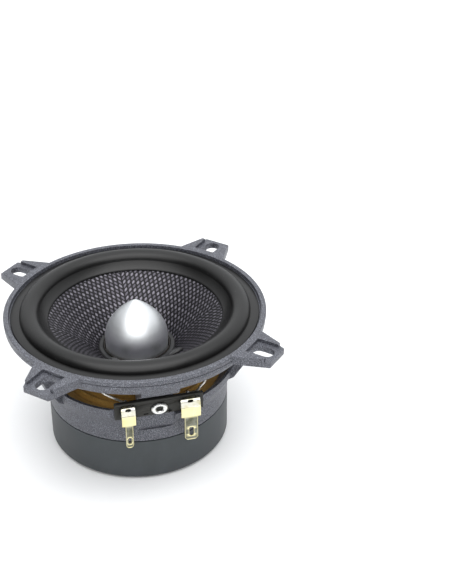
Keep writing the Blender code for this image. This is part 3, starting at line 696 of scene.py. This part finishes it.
# Motor ------------------------------------------------------------------------------------------
# A ferrite ring glued between a steel plate with its pole and a steel washer, both zinc plated.
# Four screws hold the basket to the washer, and one long screw holds the plug on the pole.
steel, tree, shader = surface("plated_steel", (0.55, 0.55, 0.55), 0.35, 1.0)
turning = grain(tree, 250, 4.0, 0.6, (1, 1, 6))
toned(tree, shader, turning, [(0.3, (0.42, 0.42, 0.42)), (0.7, (0.62, 0.62, 0.61))], 0.28, 0.45)
raised(tree, shader, turning, 0.00001, 0.5)
for name in ("t_yoke", "top_plate"):
    dress(node[name], steel)

ferrite, tree, shader = surface("ground_ferrite", (0.06, 0.06, 0.065), 0.6)
grit = grain(tree, 1400, 5.0, 0.7)
toned(tree, shader, grit, [(0.3, (0.035, 0.035, 0.038)), (0.7, (0.085, 0.085, 0.090))])
raised(tree, shader, grit, 0.00003, 0.7)
dress(node["magnet"], ferrite)

zinc, tree, shader = surface("bright_zinc", (0.75, 0.75, 0.74), 0.28, 1.0)
bloom = grain(tree, 650, 4.0)
toned(tree, shader, bloom, [(0.3, (0.62, 0.62, 0.60)), (0.7, (0.84, 0.84, 0.82))], 0.18, 0.36)
for name in [f"basket_screw_{number}" for number in range(1, 5)] + ["phase_plug_screw"]:
    dress(node[name], zinc)

# Magnet boot ------------------------------------------------------------------------------------
# A moulded cup of smooth dark rubber pushed over the magnet up to the basket. Its bottom corner is
# chamfered, and a thin joint line shows where it meets the casting.
BOOT_WALL = 0.0015
BOOT_CHAMFER = 0.0014
BOOT_TOP = CUP_BOTTOM - 0.0005
boot = turned("moulded_boot", rounded([
    (0, 0, 0), (CUP_RADIUS - BOOT_CHAMFER, 0, 0.0003), (CUP_RADIUS, BOOT_CHAMFER, 0.0004),
    (CUP_RADIUS, BOOT_TOP, 0), (CUP_RADIUS - BOOT_WALL, BOOT_TOP, 0),
    (CUP_RADIUS - BOOT_WALL, BOOT_WALL, 0.0004), (0, BOOT_WALL, 0)]))
boot_rubber, tree, shader = surface("smooth_boot_rubber", (0.05, 0.053, 0.056), 0.5, 0.0,
                                    Specular_IOR_Level=0.35)
scuff = grain(tree, 70, 5.0, 0.65, (1, 1, 0.5))
pore = grain(tree, 2400, 3.0)
toned(tree, shader, scuff, [(0.30, (0.044, 0.050, 0.054)), (0.62, (0.058, 0.066, 0.071)),
                            (0.80, (0.076, 0.085, 0.090))], 0.42, 0.58)
raised(tree, shader, pore, 0.00002, 0.5)
dress(boot, boot_rubber)
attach(boot, "fixed_frame")
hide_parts("magnet_boot")

# Terminal board ---------------------------------------------------------------------------------
# A strip of matt black fibre board against the basket's seat, with a slot for each lug's tail. A
# minus and a plus are printed beside the rivet.
BOARD_Y = -0.0362
BOARD_Z = 0.0349
BOARD_HALF = (0.0171, 0.0035, 0.0008)     # half its length, height and thickness
LUG_X = {"negative": -0.0110, "positive": 0.0130}
TAIL_SLOT_HALF = 0.0023


def bar_plan(half_x, half_y):
    """A rectangle round the origin."""
    return [(-half_x, -half_y), (half_x, -half_y), (half_x, half_y), (-half_x, half_y)]


board_bmesh = prism_bmesh(bar_plan(*BOARD_HALF[:2]), -BOARD_HALF[2], BOARD_HALF[2])
bmesh.ops.bevel(board_bmesh, geom=list(board_bmesh.edges), offset=0.00012, segments=2, profile=0.5,
                affect="EDGES")
to_board = Matrix.Translation((BOARD_X, BOARD_Y, BOARD_Z)) @ Matrix.Rotation(math.pi / 2, 4, "X")
bmesh.ops.transform(board_bmesh, verts=board_bmesh.verts, matrix=to_board)
board = piece_from(board_bmesh, "fibre_board")
for centre_x in LUG_X.values():
    slot_plan = [(centre_x - TAIL_SLOT_HALF, -0.0400), (centre_x + TAIL_SLOT_HALF, -0.0400),
                 (centre_x + TAIL_SLOT_HALF, -0.0330), (centre_x - TAIL_SLOT_HALF, -0.0330)]
    slot_tool = prism_bmesh(slot_plan, BOARD_Z + 0.0014, BOARD_Z + 0.0026)
    combine(board, slot_tool, "DIFFERENCE")
fibre, tree, shader = surface("black_fibre_board", (0.05, 0.05, 0.045), 0.7)
pulp = grain(tree, 900, 5.0, 0.7, (1, 1, 2.5))
toned(tree, shader, pulp, [(0.30, (0.014, 0.014, 0.012)), (0.70, (0.036, 0.035, 0.030))], 0.6, 0.8)
raised(tree, shader, pulp, 0.00004, 0.6)
dress(board, fibre)
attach(board, "fixed_frame")
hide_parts("terminal_board")

ink, tree, shader = surface("black_marking_ink", (0.002, 0.002, 0.002), 0.9, Specular_IOR_Level=0.05)
blot = grain(tree, 2000, 3.0)
toned(tree, shader, blot, [(0.3, (0.001, 0.001, 0.001)), (0.7, (0.003, 0.003, 0.003))])
for mark_name, mark_x, strokes in (("minus_mark", -0.0040, ((0.0009, 0.00022),)),
                                   ("plus_mark", 0.0052, ((0.0009, 0.00020), (0.00020, 0.0009)))):
    mark_bmesh = bmesh.new()
    for half_x, half_z in strokes:
        bar = prism_bmesh(bar_plan(half_x, half_z), 0, 0.00005)
        bar_mesh = bpy.data.meshes.new("bar")
        bar.to_mesh(bar_mesh)
        bar.free()
        mark_bmesh.from_mesh(bar_mesh)
        bpy.data.meshes.remove(bar_mesh)
    mark_place = Matrix.Translation((mark_x, BOARD_Y - BOARD_HALF[2], BOARD_Z - 0.0026))
    bmesh.ops.transform(mark_bmesh, verts=mark_bmesh.verts,
                        matrix=mark_place @ Matrix.Rotation(math.pi / 2, 4, "X"))
    mark = piece_from(mark_bmesh, mark_name)
    dress(mark, ink)
    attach(mark, "fixed_frame")

# Rivet ------------------------------------------------------------------------------------------
# A bright tubular rivet. Its flange is rolled over the front of the board, round an open eye, and
# its tail is spread behind the basket's wall.
RIVET_HEIGHT = 0.0343
RIVET_FLANGE = 0.0032
RIVET_SHANK = 0.0015
RIVET_FLATTENING = 0.77                   # the flange is oval
SPREAD_TAIL = 0.0022
rivet_outline = rounded([
    (0, -0.0038, 0), (SPREAD_TAIL, -0.0038, 0.0003), (SPREAD_TAIL, -0.0034, 0),
    (RIVET_SHANK, -0.0034, 0), (RIVET_SHANK, 0.0011, 0), (RIVET_FLANGE, 0.0011, 0.0001),
    (RIVET_FLANGE, 0.0014, 0.0002), (0.0028, 0.0019, 0.0004), (0.0019, 0.0019, 0.0003),
    (0.00145, 0.0015, 0.0002), (0.0014, -0.0010, 0), (0, -0.0012, 0)])
rivet_bmesh = turned_bmesh(rivet_outline, 64)
for vert in rivet_bmesh.verts:
    radius = vert.co.xy.length
    if 0.0008 < radius < 0.00165 and vert.co.z > -0.0015:
        angle = math.atan2(vert.co.y, vert.co.x)
        vert.co.xy *= 1 - 0.08 * math.cos(4 * angle)
bmesh.ops.scale(rivet_bmesh, verts=rivet_bmesh.verts, vec=(1, RIVET_FLATTENING, 1))
to_rivet = Matrix.Translation((BOARD_X, BOARD_Y, RIVET_HEIGHT)) @ Matrix.Rotation(math.pi / 2, 4, "X")
bmesh.ops.transform(rivet_bmesh, verts=rivet_bmesh.verts, matrix=to_rivet)
rivet = piece_from(rivet_bmesh, "board_rivet", 50)
dress(rivet, zinc)
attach(rivet, "fixed_frame")
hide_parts("terminal_rivet")

# Terminal lugs ----------------------------------------------------------------------------------
# Stamped brass strip, tin plated: a tail through the board's slot, a head bent down over its front
# and a push-on blade with an eye. The negative blade is narrow, the positive one wide.
LUG_FRONT = -0.0393
LUG_THICKNESS = 0.0006
LUG_SLOT = BOARD_Z + 0.0020
TAIL_HALF = 0.0020
HEAD_LOW = 0.0296                         # the head ends and the blade begins
BLADE_HIGH = 0.0290
EDGE_BAND = 0.0003                        # width of the painted highlight band along an edge
LENS_LOW = 0.0358                         # the head's own slot, between two heights
LENS_HIGH = 0.0368
LENS_HALF = 0.00115
tinned, tree, shader = surface("tinned_brass", (0.80, 0.76, 0.60), 0.3, 1.0)
tarnish = grain(tree, 260, 4.0, 0.6)
stamping = grain(tree, 1500, 2.0, 0.5, (1, 1, 0.15))
tin = graded(tree, tarnish, [(0.32, (0.74, 0.68, 0.42)), (0.50, (0.88, 0.85, 0.70)),
                             (0.68, (0.92, 0.91, 0.85))])
# Painted shade: the blades' flat faces below the head get this dark tin colour.
painted_shade_blade_tin = graded(tree, tarnish, [(0.32, (0.10, 0.10, 0.07)), (0.50, (0.17, 0.17, 0.13)),
                                    (0.68, (0.26, 0.27, 0.23))])
# Painted highlight: the blades' edges, tips and eye rims keep the bright tin over the painted shade.
edge_highlight_mark = tree.nodes.new("ShaderNodeAttribute")
edge_highlight_mark.attribute_name = "painted_edge_highlight"
lug_place = tree.nodes.new("ShaderNodeTexCoord")
lug_split = tree.nodes.new("ShaderNodeSeparateXYZ")
tree.links.new(lug_place.outputs["Object"], lug_split.inputs[0])
# The head keeps the lit tin; the blade takes the painted shade except along its marked edges.
head_share = ranged(tree, lug_split.outputs["Z"], 0.0, 1.0, 0.0290, 0.0300)
lit_tin_share = calculated(tree, "MAXIMUM", head_share, edge_highlight_mark.outputs["Fac"])
# Painted shade: the upright lower part of each head, below the bend, is painted yellower and duller than the
# lit slope above.
lower_head_shade_share = ranged(tree, lug_split.outputs["Z"], 0.75, 0.0, 0.0337, 0.0342)
tin_with_lower_head_shade = mixed(tree, lower_head_shade_share, tin, (0.80, 0.72, 0.34))
tree.links.new(mixed(tree, lit_tin_share, painted_shade_blade_tin, tin_with_lower_head_shade), shader.inputs["Base Color"])
tree.links.new(ranged(tree, tarnish, 0.42, 0.26), shader.inputs["Roughness"])
raised(tree, shader, stamping, 0.00002, 0.4)


def lug_path():
    """The strip's middle line from the tail's end to below the blade, as (y, z) points."""
    knots = [Vector(knot) for knot in (
        (-0.0340, LUG_SLOT), (-0.0374, LUG_SLOT), (-0.0380, LUG_SLOT - 0.0001),
        (-0.0385, LUG_SLOT - 0.0007), (-0.0390, 0.0344), (-0.0388, 0.0341),
        (-0.0392, 0.0338), (LUG_FRONT, 0.0297), (LUG_FRONT, 0.0180))]
    points = [knots[0]]
    for first, second in zip(knots, knots[1:]):
        count = max(1, round((second - first).length / 0.00015))
        points += [first.lerp(second, (step + 1) / count) for step in range(count)]
    return points


for side_name, head_width, blade_width, eye_width, eye_height, tip_height, tip_round in (
        ("negative", 0.0053, 0.0028, 0.0015, 0.0030, 0.0194, 0.0013),
        ("positive", 0.0076, 0.0051, 0.0019, 0.0042, 0.0189, 0.0010)):
    path = [point for point in lug_path() if point.y > tip_height]
    path.append(Vector((LUG_FRONT, tip_height)))
    lug_bmesh = bmesh.new()
    bright = lug_bmesh.verts.layers.float.new("painted_edge_highlight")
    previous = None
    eye_low = tip_height + 0.0018
    for point in path:
        y, z = point
        if y > -0.0376:
            half = TAIL_HALF
        elif z > HEAD_LOW:
            half = head_width / 2
        else:
            half = blade_width / 2
            drop = tip_round - (z - tip_height)
            if drop > 0 and side_name == "negative":
                half -= tip_round - math.sqrt(max(tip_round ** 2 - drop ** 2, 0.0))
            elif drop > 0:
                half -= drop
        half = max(half, 0.0003)
        eye = 0.0
        if z < BLADE_HIGH:
            off_centre = abs(z - eye_low - eye_height / 2) - (eye_height - eye_width) / 2
            if off_centre < eye_width / 2:
                eye = math.sqrt((eye_width / 2) ** 2 - max(off_centre, 0.0) ** 2)
        elif y < -0.0379 and LENS_LOW < z < LENS_HIGH:
            eye = LENS_HALF * math.sqrt(math.sin(math.pi * (z - LENS_LOW) / (LENS_HIGH - LENS_LOW)))
        near_eye = z < BLADE_HIGH and abs(z - eye_low - eye_height / 2) < eye_height / 2 + 0.0004
        near_tip = z - tip_height < 0.0004
        middle = eye + (half - eye) / 2
        inner = min(eye + EDGE_BAND, middle)
        outer = max(half - EDGE_BAND, middle)
        row = []
        for x in (-half, -outer, -inner, -eye, eye, inner, outer, half):
            vert = lug_bmesh.verts.new((x, y, z))
            on_edge = abs(x) == half or near_tip
            round_eye = near_eye and abs(x) < eye_width / 2 + EDGE_BAND
            on_eye = abs(x) == eye and (eye > 0 or near_eye)
            # Edges, tip and eye rims are marked for the painted highlight.
            vert[bright] = float(on_edge or round_eye or on_eye)
            row.append(vert)
        if previous:
            for start in range(7):
                if start != 3 or eye == 0 or previous_eye == 0:
                    lug_bmesh.faces.new((previous[start], previous[start + 1], row[start + 1], row[start]))
        previous, previous_eye = row, eye
    bmesh.ops.remove_doubles(lug_bmesh, verts=lug_bmesh.verts, dist=1e-6)
    bmesh.ops.dissolve_degenerate(lug_bmesh, edges=lug_bmesh.edges, dist=1e-6)
    bmesh.ops.translate(lug_bmesh, verts=lug_bmesh.verts, vec=(LUG_X[side_name], 0, 0))
    lug = piece_from(lug_bmesh, f"{side_name}_lug", 40)
    thicken = lug.modifiers.new("thickness", "SOLIDIFY")
    thicken.thickness = LUG_THICKNESS
    thicken.offset = 0.0
    thicken.use_even_offset = True
    soften = lug.modifiers.new("edges", "BEVEL")
    soften.width = 0.00008
    soften.segments = 2
    soften.angle_limit = math.radians(50)
    dress(lug, tinned)
    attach(lug, "fixed_frame")
    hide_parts(f"{side_name}_terminal")

# Leads and solder -------------------------------------------------------------------------------
# Each lead is a braid of silvered copper tinsel, soldered to its lug's tail and glued into the
# cone. It hangs in a slack bow that gives as the cone moves.
LEAD_RADIUS = 0.0005
STRANDS = 4
STRAND_LAY = 4200                         # how tightly the strands wind, radians per metre
SOLDER_PLACE = (-0.0330, 0.0362)          # behind the board, at the end of a lug's tail
braid, tree, shader = surface("silvered_braid", (0.78, 0.76, 0.70), 0.4, 0.9)
strand = grain(tree, 2600, 3.0, 0.6)
toned(tree, shader, strand, [(0.3, (0.45, 0.42, 0.36)), (0.7, (0.90, 0.89, 0.85))], 0.3, 0.5)
raised(tree, shader, strand, 0.00005, 0.6)
solder, tree, shader = surface("bright_solder", (0.72, 0.72, 0.70), 0.25, 1.0)
skin = grain(tree, 800, 4.0)
toned(tree, shader, skin, [(0.3, (0.58, 0.58, 0.56)), (0.7, (0.82, 0.82, 0.80))], 0.18, 0.35)


def smooth_route(knots, steps):
    """Points on a smooth curve through the knots."""
    padded = [2 * knots[0] - knots[1]] + knots + [2 * knots[-1] - knots[-2]]
    route = []
    for index in range(1, len(padded) - 2):
        before, start, end, after = padded[index - 1:index + 3]
        for step in range(steps):
            t = step / steps
            bend = 2 * before - 5 * start + 4 * end - after
            twist = 3 * start - before - 3 * end + after
            route.append(0.5 * (2 * start + (end - before) * t + bend * t ** 2 + twist * t ** 3))
    return route + [knots[-1]]


lead_knots = {
    "negative": [(-0.0113, -0.0330, 0.0363), (-0.0120, -0.0331, 0.0366), (-0.0131, -0.0333, 0.0375),
                 (-0.0164, -0.0334, 0.0400), (-0.0192, -0.0333, 0.0423), (-0.0209, -0.0310, 0.0443),
                 (-0.0205, -0.0275, 0.0453), (-0.0182, -0.0228, 0.0448), (-0.0145, -0.0185, 0.0432)],
    "positive": [(0.0133, -0.0330, 0.0362), (0.0140, -0.0331, 0.0363), (0.0156, -0.0333, 0.0366),
                 (0.0169, -0.0335, 0.0372), (0.0183, -0.0335, 0.0391), (0.0199, -0.0334, 0.0410),
                 (0.0209, -0.0315, 0.0434), (0.0205, -0.0280, 0.0450), (0.0185, -0.0230, 0.0448),
                 (0.0146, -0.0185, 0.0432)]}
for side_name, side in (("negative", -1), ("positive", 1)):
    end_angle = math.radians(TERMINAL_SIDE + side * DAB_ANGLE)
    knots = [Vector(knot) for knot in lead_knots[side_name]]
    knots.append(Vector((DAB_RADIUS * math.cos(end_angle), DAB_RADIUS * math.sin(end_angle),
                         cone_height(DAB_RADIUS) - 0.0007)))
    route = smooth_route(knots, 24)
    lengths = [0.0]
    for first, second in zip(route, route[1:]):
        lengths.append(lengths[-1] + (second - first).length)
    lead_bmesh = bmesh.new()
    around_count = 20
    rings = []
    cross = Vector((0, 0, 1))
    for index, point in enumerate(route):
        ahead = (route[min(index + 1, len(route) - 1)] - route[max(index - 1, 0)]).normalized()
        cross = (cross - ahead * cross.dot(ahead)).normalized()
        other = ahead.cross(cross)
        ring = []
        for spot in range(around_count):
            angle = math.tau * spot / around_count
            wound = lengths[index] * STRAND_LAY
            plait = math.sin(STRANDS * angle + wound) * math.sin(STRANDS * angle - wound)
            radius = LEAD_RADIUS * (0.9 + 0.1 * plait)
            arm = (cross * math.cos(angle) + other * math.sin(angle)) * radius
            ring.append(lead_bmesh.verts.new(point + arm))
        rings.append(ring)
    for first, second in zip(rings, rings[1:]):
        for spot in range(around_count):
            beyond = (spot + 1) % around_count
            lead_bmesh.faces.new((first[spot], first[beyond], second[beyond], second[spot]))
    lead_bmesh.faces.new(rings[0])
    lead_bmesh.faces.new(rings[-1])
    lead = piece_from(lead_bmesh, f"braided_lead_{side_name}", 70)
    dress(lead, braid)
    world_route = np.array([Matrix.Rotation(TURN, 3, "Z") @ point for point in route])
    along_share = np.array(lengths) / lengths[-1]

    def lead_share(places, world_route=world_route, along_share=along_share):
        """Weight by how far along the lead each point lies, eased at both ends."""
        gaps = ((places[:, None, :] - world_route[None, :, :]) ** 2).sum(2)
        t = along_share[gaps.argmin(1)]
        return t * t * (3 - 2 * t)

    bends(lead, f"tinsel_lead_{side_name}", lead_share)

    blob_bmesh = bmesh.new()
    bmesh.ops.create_uvsphere(blob_bmesh, u_segments=28, v_segments=18, radius=0.0008)
    for vert in blob_bmesh.verts:
        vert.co *= 1 + 0.18 * noise.noise(vert.co * 1400 + Vector((side, 0, 0)))
        vert.co.z *= 1.15
    bmesh.ops.translate(blob_bmesh, verts=blob_bmesh.verts, vec=(LUG_X[side_name], *SOLDER_PLACE))
    blob = piece_from(blob_bmesh, f"solder_blob_{side_name}", 80)
    dress(blob, solder)
    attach(blob, "fixed_frame")
    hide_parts(f"solder_joint_{side_name}")

# Floor and light --------------------------------------------------------------------------------
# The speaker stands on its boot on a wide pale sheet. Large soft lights hang above it, and the
# room is bright behind and overhead and dim in front.
floor_bmesh = bmesh.new()
bmesh.ops.create_grid(floor_bmesh, x_segments=8, y_segments=8, size=2.0)
floor = piece_from(floor_bmesh, "pale_floor")
floor.location.z = -0.0002
sheet, tree, shader = surface("pale_sheet", (0.96, 0.965, 0.97), 0.55)
toned(tree, shader, grain(tree, 30, 3.0), [(0.3, (0.95, 0.955, 0.96)), (0.7, (0.97, 0.975, 0.98))])
dress(floor, sheet)

world = bpy.data.worlds.new("soft_room")
bpy.context.scene.world = world
world.use_nodes = True
tree = world.node_tree
sky_place = tree.nodes.new("ShaderNodeTexCoord")
toward_backdrop = tree.nodes.new("ShaderNodeVectorMath")
toward_backdrop.operation = "DOT_PRODUCT"
toward_backdrop.inputs[1].default_value = (-0.15, 0.60, 0.78)
tree.links.new(sky_place.outputs["Generated"], toward_backdrop.inputs[0])
tree.links.new(ranged(tree, toward_backdrop.outputs["Value"], 0.04, 1.22, 0.05, 0.82),
               tree.nodes["Background"].inputs["Strength"])
tree.nodes["Background"].inputs["Color"].default_value = (0.97, 0.985, 1.0, 1.0)

for name, place, size, power in (("front_box", (0.24, -0.40, 0.80), 1.20, 10.5),
                                 ("top_box", (0.00, 0.10, 0.85), 0.80, 1.5)):
    lamp = bpy.data.lights.new(name, "AREA")
    lamp.shape = "SQUARE"
    lamp.size = size
    lamp.energy = power
    stand = bpy.data.objects.new(name, lamp)
    bpy.context.scene.collection.objects.link(stand)
    stand.location = place
    stand.rotation_euler = (Vector((0, 0, 0.03)) - Vector(place)).to_track_quat("-Z", "Y").to_euler()
bpy.context.scene.view_settings.view_transform = "Standard"

# Camera -----------------------------------------------------------------------------------------
# A long lens looks down at the front of the speaker from beside the terminals. Its offsets are
# measured from the middle of the rim, across, up and along the view.
CAMERA_OFFSET = (0.035729, 0.005694, 0.470116)
azimuth = math.radians(30.198)
elevation = math.radians(31.439)
roll = math.radians(0.225)
back = Vector((math.sin(azimuth) * math.cos(elevation), -math.cos(azimuth) * math.cos(elevation),
               math.sin(elevation)))
level = Vector((math.cos(azimuth), math.sin(azimuth), 0))
upright = back.cross(level)
right = math.cos(roll) * level + math.sin(roll) * upright
up = -math.sin(roll) * level + math.cos(roll) * upright
lens = bpy.data.cameras.new("long_lens")
lens.lens = 73.506
lens.clip_start = 0.01
camera = bpy.data.objects.new("camera", lens)
bpy.context.scene.collection.objects.link(camera)
across_shift, up_shift, distance = CAMERA_OFFSET
camera_place = Vector((0, 0, RIM_TOP)) + across_shift * right + up_shift * up + distance * back
camera.matrix_world = (Matrix.Translation(camera_place)
                       @ Matrix((right, up, back)).transposed().to_4x4())
bpy.context.scene.camera = camera
